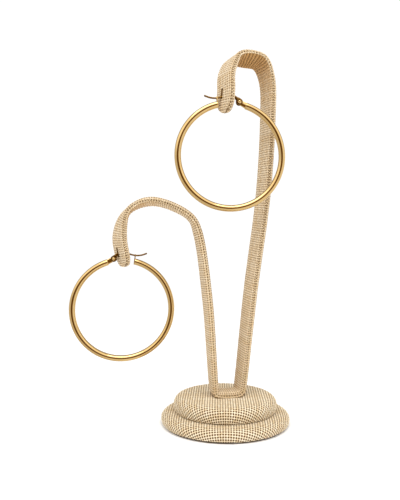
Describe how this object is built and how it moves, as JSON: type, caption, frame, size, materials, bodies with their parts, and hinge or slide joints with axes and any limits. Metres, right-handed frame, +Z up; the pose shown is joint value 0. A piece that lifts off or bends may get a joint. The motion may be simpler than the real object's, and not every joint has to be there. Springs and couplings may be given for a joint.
{
  "type": "hoop earrings on display stand",
  "caption": "Plain tube hoop earrings with hinged ear wires, hanging from the slotted tips of a linen covered double hook stand on a round tiered base.",
  "frame": {"origin": "centre of the base's underside, on the surface that the stand stands on", "axes": "+Z up; the stand's foot runs along X with the short hook at -X; the front faces -Y"},
  "size_m": [0.1034, 0.0604, 0.1722],
  "materials": {
    "gold": "polished",
    "linen": "natural plain weave",
    "felt": "matt felt"
  },
  "bodies": {
    "stand": {"base_pad": "felt", "base_lower_disc": "linen", "base_upper_disc": "linen", "strip": "linen", "hoop_right": "gold", "hinge_pin_right": "gold", "hoop_left": "gold", "hinge_pin_left": "gold"},
    "right_wire": {"ear_wire_right": "gold"},
    "left_wire": {"ear_wire_left": "gold"}
  },
  "joints": [
    {"name": "right_wire_hinge", "type": "hinge", "parent": "stand", "child": "right_wire", "pos_m": [0.00288, -0.01636, 0.1482], "axis": [0.0872, 0.9962, 0], "range_deg": [0, 18]},
    {"name": "left_wire_hinge", "type": "hinge", "parent": "stand", "child": "left_wire", "pos_m": [-0.0523, 0.009, 0.0778], "axis": [0, -1, 0], "range_deg": [0, 18]}
  ]
}
